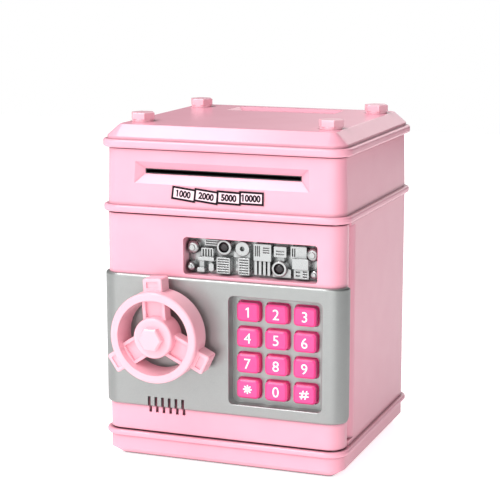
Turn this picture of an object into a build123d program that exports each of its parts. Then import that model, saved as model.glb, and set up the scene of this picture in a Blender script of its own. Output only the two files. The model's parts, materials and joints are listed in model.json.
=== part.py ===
from build123d import *
from math import atan, cos, hypot, pi, sin
import os

# Toy safe coin bank: a small electronic safe for children, in millimetres.
# +Z is up, the door faces -Y, and the origin is under the middle of the whole object.

# ---------------------------------------------------------------- driving dimensions
WIDTH = 125.0
DEPTH = 118.5
CORNER = 8.0
WALL = 2.2
BEAD = 2.2  # how far the raised beads stand out of the walls
BEAD_ROUND = 1.2
WHEEL_REACH = 22.0  # from the body's front to the tip of the handwheel

# depths, from front to back
FRONT = WHEEL_REACH - (WHEEL_REACH + DEPTH + BEAD) / 2
BACK = FRONT + DEPTH
MID_Y = (FRONT + BACK) / 2

# heights, from the floor up
BASE_CHAMFER = 4.0
BASE_INSET = 6.0
BASE_BEAD_LOW = 11.5
BASE_TOP = 14.3
VAULT_FLOOR_TOP = 20.5
MID_SEAM = 126.6
MID_BEAD_TOP = 130.1
CASING_TOP = 158.7
CAP_BEAD_TOP = 162.7
CAP_BAND_TOP = 164.2
CAP_TOP = 169.8
CAP_INSET = 6.2
CASING_DRAFT = 0.8  # the upper casing is this much narrower per side at its top
SHADOW_GAP = 0.6
SEAM_GAP = 0.6

# door
FLANGE = 11.0  # how far the door wraps round the sides
DOOR_LOW = BASE_TOP + SEAM_GAP
DOOR_HIGH = MID_SEAM - SEAM_GAP
DOOR_SKIN = 2.0
BACK_COVER = 2.0
DOOR_BACK = FRONT + FLANGE
HINGE_X = 57.5
HINGE_Y = FRONT + 4.5
PIN_R = 1.5
PIN_SUNK = 6.0  # how deep the hinge pins sit in the base and in the casing
PIN_OUT = 4.4  # how far they reach into the door
RUNNING = 0.05  # radial clearance of a running fit

# body shell
SHELL_FRONT = FRONT + 13.4
VAULT_DOORWAY = (-54.0, 50.0, 21.0, 121.0)  # left, right, bottom, top

# window with its moulded mechanism
WINDOW = (-19.4, 50.0, 97.3, 116.0)
WINDOW_DEEP = 8.0
RELIEF_PLATE = 1.0

# silver front panel and keypad
PANEL_PROUD = 1.7
PANEL_LOW = 28.2
PANEL_HIGH = 95.7
PANEL_WRAP = 9.0
PANEL_ROUND = 1.3
PANEL_FACE = FRONT - PANEL_PROUD
KEYPAD = (5.0, 52.9, 34.0, 88.4)
KEYPAD_DEEP = 6.0
KEYPAD_FLOOR = PANEL_FACE + KEYPAD_DEEP
KEYPAD_SHEET = 1.0
KEY_PITCH_X = 14.7
KEY_PITCH_Z = 12.95
KEY_W = 11.5
KEY_H = 9.4
KEY_ROUND = 1.9
KEY_BEVEL = 0.9
KEY_GAP = 0.55
KEY_SET_BACK = 1.8
KEY_TRAVEL = 1.2
KEY_FLANGE = 0.6

# handwheel and latch
WHEEL_X = -28.5
WHEEL_Z = 68.0
RIM_OUTER = 22.8
RIM_INNER = 18.8
RIM_FRONT = 18.0
RIM_BACK = 5.0
LUG_REACH = 28.9
LUG_W = 10.2
LUG_FRONT = 13.6
WHEEL_TURN = 4.0  # how far the spokes stand off a straight Y at rest, in degrees
HUB_R = 10.2
HUB_FRONT = 18.2
SPINDLE_R = 2.5
PINION_TEETH = 12
PINION_MODULE = 1.0
PINION_PITCH_R = PINION_TEETH * PINION_MODULE / 2
LATCH_Y = FRONT + 16.2
LATCH_THICK = 4.0
LATCH_LOW = 55.0
LATCH_TIP = -52.4
LATCH_TAIL = -14.0
LATCH_THROW = PINION_PITCH_R * pi / 3  # one sixth of a turn of the handwheel
GUIDE = (-51.0, -8.0, 50.0, 80.0)
GUIDE_BACK = FRONT + 21.6
PLUNGER_X = -38.0
PLUNGER_R = 1.75

# note slot, note feeder and coin way
SLOT_Z = 147.3
SLOT_W = 81.4
SLOT_H = 2.6
FEED_Y = FRONT + 24.0
SLEEVE_R = 6.0
PINCH_R = 5.0
NIP = 0.4
FEED_Z = SLOT_Z - NIP / 2 - SLEEVE_R
PINCH_Z = SLOT_Z + NIP / 2 + PINCH_R
GEAR_MODULE = 0.7
FEED_TEETH = 28
MOTOR_TEETH = 10
GEAR_X = 50.0
GEAR_THICK = 4.0
TRANSFER_Y = FEED_Y + GEAR_MODULE * FEED_TEETH
MOTOR_Y = TRANSFER_Y + GEAR_MODULE * (FEED_TEETH + MOTOR_TEETH) / 2
SIDE_PLATE_X = 46.0
SIDE_PLATE = 2.0
COIN_Y = FRONT + 96.0
COIN_SLOT = (34.0, 3.2)
CHUTE = (40.0, 10.0, 1.2)  # outer width, outer depth, wall

# cap bolts and screws
BOLT_X = 49.6
BOLT_ROWS = (FRONT + 21.0, FRONT + 99.0)
BOLT_R = 6.3
POST_X = 50.0
POST_Y = 37.0
SCREW_R = 1.3
HEAD_H = 1.8

CASING_INNER = WALL + CASING_DRAFT


# ---------------------------------------------------------------- shared helpers
def level(z):
    """Plan plane at height z, centred on the body."""
    return Plane(origin=(0, MID_Y, z))


def facing(y):
    """Upright plane at depth y: local x and y are the world's X and Z, its normal faces the front."""
    return Plane(origin=(0, y, 0), x_dir=(1, 0, 0), z_dir=(0, -1, 0))


def outline(inset=0.0, mode=Mode.ADD):
    """The body's rounded plan in the active sketch, moved inwards by inset."""
    return RectangleRounded(WIDTH - 2 * inset, DEPTH - 2 * inset, max(CORNER - inset, 2.5), mode=mode)


def keep_front(depth, lead=0.0):
    """Keeps only the part of the active plan sketch from lead ahead of the front to depth behind it."""
    with Locations((0, -DEPTH / 2 + (depth - lead) / 2)):
        Rectangle(2 * WIDTH, depth + lead, mode=Mode.INTERSECT)


def span(box, grow=0.0, radius=0.0, mode=Mode.ADD):
    """A rectangle in the active sketch from (left, right, bottom, top), grown by grow per side."""
    left, right, low, high = box
    width = right - left + 2 * grow
    height = high - low + 2 * grow
    with Locations(((left + right) / 2, (low + high) / 2)):
        if radius:
            RectangleRounded(width, height, radius, mode=mode)
        else:
            Rectangle(width, height, mode=mode)


def proud(point):
    """How far a point stands out of the body's rounded plan; negative inside it."""
    x = abs(point.X) - (WIDTH / 2 - CORNER)
    y = abs(point.Y - MID_Y) - (DEPTH / 2 - CORNER)
    return hypot(max(x, 0), max(y, 0)) + min(max(x, y), 0) - CORNER


def bead(z_low, z_high):
    """Adds a rounded bead right round the active part between two heights."""
    with BuildSketch(level(z_low)) as ring:
        outline(-BEAD)
        outline(WALL / 2, mode=Mode.SUBTRACT)
    extrude(ring.sketch, amount=z_high - z_low)


def bead_edges(part, z_low, z_high):
    """The outer edges of a bead, ready to be rounded."""
    edges = part.edges().filter_by_position(Axis.Z, z_low - 0.01, z_high + 0.01)
    flat = [e for e in edges if abs(e.bounding_box().size.Z) < 0.01]
    return [e for e in flat if proud(e @ 0.5) > BEAD - 0.05]


def screw_set(planes, length, radius=SCREW_R):
    """Cross-head screws, one per plane: the plane is the head's outer face, its normal points away."""
    with BuildPart() as screws:
        with BuildSketch(*planes):
            Circle(2.1 * radius)
        extrude(amount=-HEAD_H)
        with BuildSketch(*planes):
            Circle(radius)
        extrude(amount=-length)
        with BuildSketch(*planes):
            Rectangle(2.6 * radius, 0.5 * radius)
            Rectangle(0.5 * radius, 2.6 * radius)
        extrude(amount=-HEAD_H / 2, mode=Mode.SUBTRACT)
    return screws


def gear_outline(teeth, module, turn=0.0):
    """Spur gear with straight-flanked teeth in the active sketch; turn is in tooth pitches."""
    pitch_r = teeth * module / 2
    root_r = pitch_r - 1.15 * module
    tip_r = pitch_r + 0.8 * module
    corners = ((-0.30, root_r), (-0.11, tip_r), (0.11, tip_r), (0.30, root_r))
    points = []
    for tooth in range(teeth):
        for share, radius in corners:
            angle = 2 * pi * (tooth + share + turn) / teeth
            points.append((radius * cos(angle), radius * sin(angle)))
    with BuildLine() as teeth_line:
        Polyline(*points, close=True)
    make_face(teeth_line.edges())


def across(x, y, z):
    """Upright plane facing +X at a point, for shafts and gears that lie across the object."""
    return Plane(origin=(x, y, z), x_dir=(0, 1, 0), z_dir=(1, 0, 0))


def save(builder, label):
    """Labels a finished piece and writes it."""
    builder.part.label = label
    export_step(builder.part, f"parts/{label}.step")


os.makedirs("parts", exist_ok=True)

# ---------------------------------------------------------------- base
BAY = (-30.0, 30.0, -23.5, 23.5)
BAY_LID = (-33.0, 41.0, -26.0, 26.0)
BAY_SCREW = (37.0, 0.0)
POSTS = [(x, y) for x in (-POST_X, POST_X) for y in (-POST_Y, POST_Y)]
POST_R = 4.0
FLOOR_UNDER = VAULT_FLOOR_TOP - 2.0
PIN_SOCKET_R = 3.4

with BuildPart() as base_tray:
    with BuildSketch(level(0)):
        outline(BASE_INSET)
    with BuildSketch(level(BASE_CHAMFER)):
        outline()
    loft()
    with BuildSketch(level(BASE_CHAMFER)):
        outline()
    extrude(amount=BASE_TOP - BASE_CHAMFER)
    bead(BASE_BEAD_LOW, BASE_TOP)
    fillet(bead_edges(base_tray, BASE_BEAD_LOW, BASE_TOP), BEAD_ROUND)
    # hollow, with walls that follow the chamfered foot
    with BuildSketch(level(WALL)):
        outline(BASE_INSET)
    with BuildSketch(level(BASE_CHAMFER + WALL)):
        outline(WALL)
    loft(mode=Mode.SUBTRACT)
    with BuildSketch(level(BASE_CHAMFER + WALL)):
        outline(WALL)
    extrude(amount=BASE_TOP, mode=Mode.SUBTRACT)
    # screw posts, end walls of the battery bay and the socket of the lower hinge pin
    with BuildSketch(level(WALL / 2)):
        with Locations(*POSTS):
            Circle(POST_R)
    extrude(amount=FLOOR_UNDER - WALL / 2)
    with BuildSketch(level(WALL / 2)):
        with Locations((BAY[0] + 1, 0), (BAY[1] - 1, 0)):
            Rectangle(1.6, BAY[3] - BAY[2] - 2)
    extrude(amount=FLOOR_UNDER - 2 - WALL / 2)
    with BuildSketch(level(WALL / 2)):
        with Locations((HINGE_X - 1.5, HINGE_Y + 1.5 - MID_Y)):
            Rectangle(2 * PIN_SOCKET_R, 2 * PIN_SOCKET_R)
        outline(BASE_INSET - 1, mode=Mode.INTERSECT)
    extrude(amount=BASE_TOP - 2 - WALL / 2)
    # openings in the floor
    with BuildSketch(level(0)):
        span(BAY_LID, radius=2)
    extrude(amount=1.2, mode=Mode.SUBTRACT)
    with BuildSketch(level(0)):
        span((BAY[0] + 2, BAY[1] - 2, BAY[2], BAY[3]))
    extrude(amount=WALL, mode=Mode.SUBTRACT)
    with BuildSketch(level(0)):
        with Locations(*POSTS):
            Circle(2.4 * SCREW_R)
    extrude(amount=HEAD_H + 0.4, mode=Mode.SUBTRACT)
    with BuildSketch(level(0)):
        with Locations(*POSTS, BAY_SCREW):
            Circle(SCREW_R)
    extrude(amount=FLOOR_UNDER, mode=Mode.SUBTRACT)
    with BuildSketch(Plane(origin=(HINGE_X, HINGE_Y, BASE_TOP))):
        Circle(PIN_R)
    extrude(amount=-PIN_SUNK, mode=Mode.SUBTRACT)
save(base_tray, "base_tray")

with BuildPart() as battery_cover:
    with BuildSketch(level(0.3)):
        span(BAY_LID, grow=-0.3, radius=2)
    extrude(amount=0.9)
    with BuildSketch(level(1.2)):
        span((BAY[0] + 2, BAY[1] - 2, BAY[2], BAY[3]), grow=-0.3)
    extrude(amount=1.0)
    # grip ribs for the thumb
    with BuildSketch(level(0.3)):
        with GridLocations(3, 0, 7, 1):
            Rectangle(1.2, 14)
    extrude(amount=0.4, mode=Mode.SUBTRACT)
    with BuildSketch(level(0.3)):
        with Locations(BAY_SCREW):
            Circle(SCREW_R + 0.1)
    extrude(amount=2, mode=Mode.SUBTRACT)
    with BuildSketch(level(0.3)):
        with Locations(BAY_SCREW):
            Circle(2.4 * SCREW_R)
    extrude(amount=0.5, mode=Mode.SUBTRACT)
save(battery_cover, "battery_cover")

COVER_HEAD = Plane(origin=(BAY_SCREW[0], MID_Y + BAY_SCREW[1], 0.4), z_dir=(0, 0, -1))
with BuildPart() as battery_screw:
    with BuildSketch(COVER_HEAD):
        Circle(2.1 * SCREW_R)
    extrude(amount=-0.4)
    with BuildSketch(COVER_HEAD):
        Circle(SCREW_R)
    extrude(amount=-5)
save(battery_screw, "battery_screw")

CELL_R = 7.2
CELL_LENGTH = 48.5
CELL_Z = WALL + 0.3 + CELL_R
CELL_ROWS = [(-1, -14.9), (1, 0.0), (-1, 14.9)]  # direction of the raised end, place

with BuildPart() as batteries:
    for end, row in CELL_ROWS:
        with BuildSketch(across(-end * CELL_LENGTH / 2, MID_Y + row, CELL_Z)):
            Circle(CELL_R)
        extrude(amount=end * CELL_LENGTH)
        with BuildSketch(across(end * CELL_LENGTH / 2, MID_Y + row, CELL_Z)):
            Circle(2.6)
        extrude(amount=end * 1.4)
save(batteries, "batteries")

with BuildPart() as battery_contacts:
    for end, row in CELL_ROWS:
        # flat plate at the raised end, plate with a spring washer at the other
        with BuildSketch(across(end * (CELL_LENGTH / 2 + 1.4), MID_Y + row, CELL_Z)):
            Rectangle(10, 10)
        extrude(amount=end * 0.5)
        with BuildSketch(across(-end * (CELL_LENGTH / 2 + 1.4), MID_Y + row, CELL_Z)):
            Rectangle(10, 10)
        extrude(amount=-end * 0.5)
        with BuildSketch(across(-end * (CELL_LENGTH / 2 + 1.4), MID_Y + row, CELL_Z)):
            Circle(3.6)
            Circle(2.4, mode=Mode.SUBTRACT)
        extrude(amount=end * 1.4)
save(battery_contacts, "battery_contacts")

# ---------------------------------------------------------------- vault
SHELL_DEPTH = BACK - SHELL_FRONT
SHELL_PLAN = Plane(origin=(0, (BACK + SHELL_FRONT) / 2, 0))
LIP_HIGH = 2.2
LIP_LOW = 2.6
LIP_DEEP = 11.0


def shell_plan(inset=0.0):
    """The body shell's rounded plan in the active sketch, moved inwards by inset."""
    return RectangleRounded(WIDTH - 2 * inset, SHELL_DEPTH - 2 * inset, CORNER - inset)


with BuildPart() as vault_floor:
    # raised floor over the batteries, inside the body shell
    with BuildSketch(SHELL_PLAN.offset(FLOOR_UNDER)):
        shell_plan(WALL + 0.2)
    extrude(amount=2.0)
    # riser down to the ledge that lies under the door
    with BuildSketch(SHELL_PLAN.offset(BASE_TOP - 2.0)):
        shell_plan(WALL + 0.2)
        with Locations((0, WALL + 2.2)):
            Rectangle(WIDTH, SHELL_DEPTH, mode=Mode.SUBTRACT)
    extrude(amount=VAULT_FLOOR_TOP - BASE_TOP + 2.0)
    with BuildSketch(level(BASE_TOP - 2.0)):
        outline(WALL + 0.2)
        keep_front(SHELL_FRONT - FRONT + WALL + 2.2)
    extrude(amount=2.0)
    # bosses that the base screws bite into
    with BuildSketch(level(FLOOR_UNDER)):
        with Locations(*POSTS):
            Circle(POST_R)
    extrude(amount=6.0)
    with BuildSketch(level(FLOOR_UNDER)):
        with Locations(*POSTS):
            Circle(SCREW_R)
    extrude(amount=5.0, mode=Mode.SUBTRACT)
    with BuildSketch(Plane(origin=(HINGE_X, HINGE_Y, BASE_TOP))):
        Circle(PIN_R)
    extrude(amount=-2.0, mode=Mode.SUBTRACT)
save(vault_floor, "vault_floor")

base_heads = [Plane(origin=(x, MID_Y + y, 0.4), x_dir=(1, 0, 0), z_dir=(0, 0, -1)) for x, y in POSTS]
base_screws = screw_set(base_heads, FLOOR_UNDER + 4.0)
save(base_screws, "base_screws")

with BuildPart() as body_shell:
    with BuildSketch(SHELL_PLAN.offset(BASE_TOP)):
        shell_plan()
    extrude(amount=MID_SEAM - BASE_TOP)
    # square lips close the rounded front corners at the top and the bottom
    for z_low, height in ((BASE_TOP, LIP_LOW), (MID_SEAM - LIP_HIGH, LIP_HIGH)):
        with BuildSketch(Plane(origin=(0, SHELL_FRONT + LIP_DEEP / 2 - 0.3, z_low))):
            Rectangle(WIDTH, LIP_DEEP)
        extrude(amount=height)
    lip_corners = body_shell.edges().filter_by(Axis.Z).group_by(Axis.Y)[0]
    fillet(lip_corners, 1.2)
    with BuildSketch(SHELL_PLAN.offset(BASE_TOP)):
        shell_plan(WALL)
    extrude(amount=MID_SEAM - BASE_TOP, mode=Mode.SUBTRACT)
    with BuildSketch(facing(SHELL_FRONT - 1)):
        span(VAULT_DOORWAY, radius=3)
    extrude(amount=-(WALL + 1), mode=Mode.SUBTRACT)
    # ribs that stiffen the back wall
    with BuildSketch(facing(BACK - WALL)):
        with Locations((-30, 73), (0, 73), (30, 73)):
            Rectangle(1.6, 90)
    extrude(amount=1.5)
save(body_shell, "body_shell")

# ---------------------------------------------------------------- upper casing
DRAFT_SLOPE = atan(CASING_DRAFT / (CASING_TOP - MID_SEAM))
RECESS = (-46.0, 46.0, 140.8, 153.0)
RECESS_DEEP = 3.5
SLOT_BLOCK = 7.0
NOTE_EXIT = (FEED_Y + 8.0, FEED_Y + 18.0)
CHUTE_CUT = (CHUTE[0] + 0.4, CHUTE[1] + 0.4)

with BuildPart() as upper_casing:
    with BuildSketch(level(MID_SEAM)):
        outline()
    with BuildSketch(level(CASING_TOP)):
        outline(CASING_DRAFT)
    loft()
    bead(MID_SEAM, MID_BEAD_TOP)
    fillet(bead_edges(upper_casing, MID_SEAM, MID_BEAD_TOP), BEAD_ROUND)
    # shadow gap under the cap's bead
    with BuildSketch(level(CASING_TOP - SHADOW_GAP)):
        outline(-BEAD)
        outline(CASING_DRAFT + SHADOW_GAP, mode=Mode.SUBTRACT)
    extrude(amount=SHADOW_GAP, mode=Mode.SUBTRACT)
    with BuildSketch(level(MID_SEAM + 2)):
        outline(CASING_INNER)
    extrude(amount=CASING_TOP, mode=Mode.SUBTRACT)
    # thick land behind the note slot, its bevelled recess and the slot
    with BuildSketch(facing(FRONT + SLOT_BLOCK)):
        span((RECESS[0] - 3, RECESS[1] + 3, RECESS[2] - 3, RECESS[3] + 3))
    extrude(amount=SLOT_BLOCK - CASING_DRAFT)
    with BuildSketch(facing(FRONT - 0.01)):
        span(RECESS)
    with BuildSketch(facing(FRONT + RECESS_DEEP)):
        with Locations((0, SLOT_Z)):
            Rectangle(SLOT_W + 0.4, SLOT_H + 0.4)
    loft(mode=Mode.SUBTRACT)
    with BuildSketch(facing(FRONT)):
        with Locations((0, SLOT_Z)):
            Rectangle(SLOT_W, SLOT_H)
    extrude(amount=-SLOT_BLOCK, mode=Mode.SUBTRACT)
    # ways down into the vault for notes and for coins
    with BuildSketch(level(MID_SEAM)):
        span((-43, 43, NOTE_EXIT[0] - MID_Y, NOTE_EXIT[1] - MID_Y))
        with Locations((0, COIN_Y - MID_Y)):
            Rectangle(*CHUTE_CUT)
    extrude(amount=2, mode=Mode.SUBTRACT)
    # socket of the upper hinge pin
    with BuildSketch(level(MID_SEAM + 1)):
        with Locations((HINGE_X - 1.5, HINGE_Y + 1.5 - MID_Y)):
            Rectangle(2 * PIN_SOCKET_R, 2 * PIN_SOCKET_R)
    extrude(amount=PIN_SUNK)
    with BuildSketch(Plane(origin=(HINGE_X, HINGE_Y, MID_SEAM))):
        Circle(PIN_R)
    extrude(amount=PIN_SUNK, mode=Mode.SUBTRACT)
save(upper_casing, "upper_casing")

LABEL_W = 12.7
LABEL_H = 6.6
LABEL_THICK = 0.3
LABEL_PLACES = [(-18.9, 137.2, -6.5), (-7.1, 136.7, -6.0), (4.7, 136.6, -1.8), (16.4, 137.0, -0.5)]
LABEL_NORMAL = (0, -cos(DRAFT_SLOPE), sin(DRAFT_SLOPE))
LABEL_PLANE = Plane(origin=(0, FRONT, MID_SEAM), x_dir=(1, 0, 0), z_dir=LABEL_NORMAL)

with BuildPart() as denomination_labels:
    with BuildSketch(LABEL_PLANE):
        for x, z, tilt in LABEL_PLACES:
            with Locations(Location((x, z - MID_SEAM, 0), (0, 0, tilt))):
                Rectangle(LABEL_W, LABEL_H)
    extrude(amount=LABEL_THICK)
save(denomination_labels, "denomination_labels")

# ---------------------------------------------------------------- top cap
COIN_RECESS = (60.0, 20.0)
COIN_RECESS_DEEP = 1.6

BOLT_CORNERS = [(x, y - MID_Y) for x in (-BOLT_X, BOLT_X) for y in BOLT_ROWS]
BOLT_HOLE_R = 2.0

with BuildPart() as top_cap:
    with BuildSketch(level(CASING_TOP)):
        outline()
    extrude(amount=CAP_BAND_TOP - CASING_TOP)
    with BuildSketch(level(CAP_BAND_TOP)):
        outline()
    with BuildSketch(level(CAP_TOP)):
        outline(CAP_INSET)
    loft()
    bead(CASING_TOP, CAP_BEAD_TOP)
    fillet(bead_edges(top_cap, CASING_TOP, CAP_BEAD_TOP), BEAD_ROUND)
    top_rim = top_cap.faces().sort_by(Axis.Z)[-1].edges()
    fillet(top_rim, 0.8)
    with BuildSketch(level(CASING_TOP)):
        outline(CASING_INNER)
    extrude(amount=CAP_BAND_TOP - CASING_TOP, mode=Mode.SUBTRACT)
    with BuildSketch(level(CAP_BAND_TOP)):
        outline(CASING_INNER)
    with BuildSketch(level(CAP_TOP - WALL)):
        outline(CAP_INSET + CASING_INNER)
    loft(mode=Mode.SUBTRACT)
    # coin recess with sloping sides, and the slot
    with BuildSketch(level(CAP_TOP - WALL - 2.2)):
        with Locations((0, COIN_Y - MID_Y)):
            Rectangle(COIN_RECESS[0] + 4, COIN_RECESS[1] + 4)
    extrude(amount=3.0)
    with BuildSketch(level(CAP_TOP)):
        with Locations((0, COIN_Y - MID_Y)):
            RectangleRounded(*COIN_RECESS, 1.5)
    with BuildSketch(level(CAP_TOP - COIN_RECESS_DEEP)):
        with Locations((0, COIN_Y - MID_Y)):
            RectangleRounded(COIN_RECESS[0] - 5, COIN_RECESS[1] - 5, 1.5)
    loft(mode=Mode.SUBTRACT)
    with BuildSketch(level(CAP_TOP)):
        with Locations((0, COIN_Y - MID_Y)):
            SlotOverall(*COIN_SLOT)
    extrude(amount=-8, mode=Mode.SUBTRACT)
    # holes for the shanks of the corner bolts
    with BuildSketch(level(CAP_TOP)):
        with Locations(*BOLT_CORNERS):
            Circle(BOLT_HOLE_R)
    extrude(amount=-WALL - 4, mode=Mode.SUBTRACT)
save(top_cap, "top_cap")

COLLAR_H = 1.2
HEX_H = 3.4

with BuildPart() as cap_bolts:
    with BuildSketch(level(CAP_TOP)):
        with Locations(*BOLT_CORNERS):
            Circle(BOLT_R - 0.7)
    extrude(amount=COLLAR_H)
    with BuildSketch(level(CAP_TOP + COLLAR_H)):
        with Locations(*BOLT_CORNERS):
            RegularPolygon(BOLT_R, 6)
    extrude(amount=HEX_H)
    fillet(cap_bolts.faces().sort_by(Axis.Z)[-4:].edges(), 0.6)
    with BuildSketch(level(CAP_TOP)):
        with Locations(*BOLT_CORNERS):
            Circle(BOLT_HOLE_R)
    extrude(amount=-WALL - 2)
save(cap_bolts, "cap_bolts")

# ---------------------------------------------------------------- note feeder
GUIDE_GAP = 3.2
GUIDE_SHEET = 1.2
NOTE_GUIDE_BACK = FEED_Y - SLEEVE_R - 1.0
MOUTH_WALL = 0.45

with BuildPart() as note_guide:
    guide_box = (-SLOT_W / 2 - 2.5, SLOT_W / 2 + 2.5, SLOT_Z - GUIDE_GAP / 2, SLOT_Z + GUIDE_GAP / 2)
    with BuildSketch(facing(FRONT + SLOT_BLOCK)):
        span(guide_box, grow=GUIDE_SHEET)
        span((guide_box[0] + 1, guide_box[1] - 1, guide_box[2], guide_box[3]), mode=Mode.SUBTRACT)
    extrude(amount=-(NOTE_GUIDE_BACK - FRONT - SLOT_BLOCK))
    # mouth: a thin sleeve that lines the casing's slot, joined to the guide by a flange
    with BuildSketch(facing(FRONT + RECESS_DEEP)):
        with Locations((0, SLOT_Z)):
            Rectangle(SLOT_W, SLOT_H)
            Rectangle(SLOT_W - 2 * MOUTH_WALL, SLOT_H - 2 * MOUTH_WALL, mode=Mode.SUBTRACT)
    extrude(amount=-(SLOT_BLOCK - RECESS_DEEP + 1.0))
    with BuildSketch(facing(FRONT + SLOT_BLOCK)):
        span(guide_box, grow=GUIDE_SHEET)
        with Locations((0, SLOT_Z)):
            Rectangle(SLOT_W - 2 * MOUTH_WALL, SLOT_H - 2 * MOUTH_WALL, mode=Mode.SUBTRACT)
    extrude(amount=-1.0)
save(note_guide, "note_guide")

PLATE_LOW = MID_SEAM + 2
PLATE_TOP = 157.0
DEFLECTOR_R = 11.0
LEFT_PLATE_BACK = NOTE_EXIT[1] + 9
RIGHT_PLATE_BACK = MOTOR_Y + 11
PLATE_FRONT = NOTE_GUIDE_BACK - 1.0


def side_plate(x, y_back):
    """Upright plate across the object with the two roller bearings in it."""
    with BuildSketch(across(x, 0, 0)) as plate:
        span((PLATE_FRONT, y_back, PLATE_LOW, PLATE_TOP), radius=2)
        with Locations((FEED_Y, FEED_Z)):
            Circle(2.0 + RUNNING, mode=Mode.SUBTRACT)
        with Locations((FEED_Y, PINCH_Z)):
            Circle(1.5 + RUNNING, mode=Mode.SUBTRACT)
    extrude(plate.sketch, amount=SIDE_PLATE)


with BuildPart() as feeder_frame:
    side_plate(-SIDE_PLATE_X - SIDE_PLATE, LEFT_PLATE_BACK)
    side_plate(SIDE_PLATE_X, RIGHT_PLATE_BACK)
    # curved deflector that turns the note down through the floor
    with BuildSketch(across(-SIDE_PLATE_X, 0, 0)):
        deflector_x = NOTE_EXIT[1] + 0.5
        bend = (deflector_x - DEFLECTOR_R, SLOT_Z + 3.0 - DEFLECTOR_R)
        with BuildLine():
            CenterArc(bend, DEFLECTOR_R, 0, 90)
            CenterArc(bend, DEFLECTOR_R + 1.6, 0, 90)
            Line((bend[0], bend[1] + DEFLECTOR_R), (bend[0], bend[1] + DEFLECTOR_R + 1.6))
            Line((bend[0] + DEFLECTOR_R, bend[1]), (bend[0] + DEFLECTOR_R + 1.6, bend[1]))
        make_face()
        span((deflector_x, deflector_x + 1.6, PLATE_LOW, bend[1]))
    extrude(amount=2 * SIDE_PLATE_X)
    # feet with holes for the fixing screws
    with BuildSketch(level(PLATE_LOW)):
        for side, y_back in ((-1, LEFT_PLATE_BACK), (1, RIGHT_PLATE_BACK)):
            with Locations((side * (SIDE_PLATE_X - 3), y_back - 4 - MID_Y)):
                Rectangle(8, 7)
                Circle(SCREW_R, mode=Mode.SUBTRACT)
    extrude(amount=1.6)
    # bearing of the transfer gear's axle and the motor's shaft hole
    with BuildSketch(across(SIDE_PLATE_X + SIDE_PLATE, TRANSFER_Y, FEED_Z)):
        Circle(1.5)
    extrude(amount=GEAR_X + GEAR_THICK + 1 - SIDE_PLATE_X - SIDE_PLATE)
    with BuildSketch(across(SIDE_PLATE_X, MOTOR_Y, FEED_Z)):
        Circle(2.5)
    extrude(amount=SIDE_PLATE, mode=Mode.SUBTRACT)
save(feeder_frame, "feeder_frame")

feeder_feet = [(-SIDE_PLATE_X + 3, LEFT_PLATE_BACK - 4), (SIDE_PLATE_X - 3, RIGHT_PLATE_BACK - 4)]
feeder_heads = [Plane(origin=(x, y, PLATE_LOW + 1.6 + HEAD_H)) for x, y in feeder_feet]
feeder_screws = screw_set(feeder_heads, HEAD_H + 1.6)
save(feeder_screws, "feeder_screws")

SLEEVE_PLACES = (-28.0, 0.0, 28.0)
SLEEVE_W = 12.0
SHAFT_END = SIDE_PLATE_X + SIDE_PLATE + 1.0

with BuildPart() as feed_shaft:
    with BuildSketch(across(-SHAFT_END, FEED_Y, FEED_Z)):
        Circle(2.0)
    extrude(amount=SHAFT_END + GEAR_X + GEAR_THICK + 1)
save(feed_shaft, "feed_shaft")

with BuildPart() as roller_sleeves:
    for x in SLEEVE_PLACES:
        with BuildSketch(across(x - SLEEVE_W / 2, FEED_Y, FEED_Z)):
            Circle(SLEEVE_R)
            Circle(2.0, mode=Mode.SUBTRACT)
        extrude(amount=SLEEVE_W)
save(roller_sleeves, "roller_sleeves")

with BuildPart() as feed_gear:
    with BuildSketch(across(GEAR_X, FEED_Y, FEED_Z)):
        gear_outline(FEED_TEETH, GEAR_MODULE)
        Circle(2.0, mode=Mode.SUBTRACT)
    extrude(amount=GEAR_THICK)
save(feed_gear, "feed_gear")

with BuildPart() as pinch_roller:
    with BuildSketch(across(-SHAFT_END, FEED_Y, PINCH_Z)):
        Circle(1.5)
    extrude(amount=2 * SHAFT_END)
    for x in SLEEVE_PLACES:
        with BuildSketch(across(x - SLEEVE_W / 2, FEED_Y, PINCH_Z)):
            Circle(PINCH_R)
        extrude(amount=SLEEVE_W)
save(pinch_roller, "pinch_roller")

with BuildPart() as transfer_gear:
    with BuildSketch(across(GEAR_X, TRANSFER_Y, FEED_Z)):
        gear_outline(FEED_TEETH, GEAR_MODULE, turn=0.5)
        Circle(1.5 + RUNNING, mode=Mode.SUBTRACT)
    extrude(amount=GEAR_THICK)
save(transfer_gear, "transfer_gear")

MOTOR_SHAFT_R = 1.0
MOTOR_LENGTH = 25.0

with BuildPart() as feed_motor:
    with BuildSketch(across(SIDE_PLATE_X - MOTOR_LENGTH, MOTOR_Y, FEED_Z)):
        Circle(10)
        Rectangle(20, 15, mode=Mode.INTERSECT)
    extrude(amount=MOTOR_LENGTH)
    fillet(feed_motor.edges().filter_by(GeomType.CIRCLE), 0.8)
    with BuildSketch(across(SIDE_PLATE_X - MOTOR_LENGTH, MOTOR_Y, FEED_Z)):
        Circle(3)
    extrude(amount=-2)
    with BuildSketch(across(SIDE_PLATE_X - 8, MOTOR_Y, FEED_Z)):
        Circle(MOTOR_SHAFT_R + RUNNING)
    extrude(amount=8, mode=Mode.SUBTRACT)
save(feed_motor, "feed_motor")

with BuildPart() as motor_pinion:
    with BuildSketch(across(GEAR_X, MOTOR_Y, FEED_Z)):
        gear_outline(MOTOR_TEETH, GEAR_MODULE)
    extrude(amount=GEAR_THICK)
    with BuildSketch(across(SIDE_PLATE_X - 7, MOTOR_Y, FEED_Z)):
        Circle(MOTOR_SHAFT_R)
    extrude(amount=GEAR_X + GEAR_THICK + 1 - SIDE_PLATE_X + 7)
save(motor_pinion, "motor_pinion")

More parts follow.
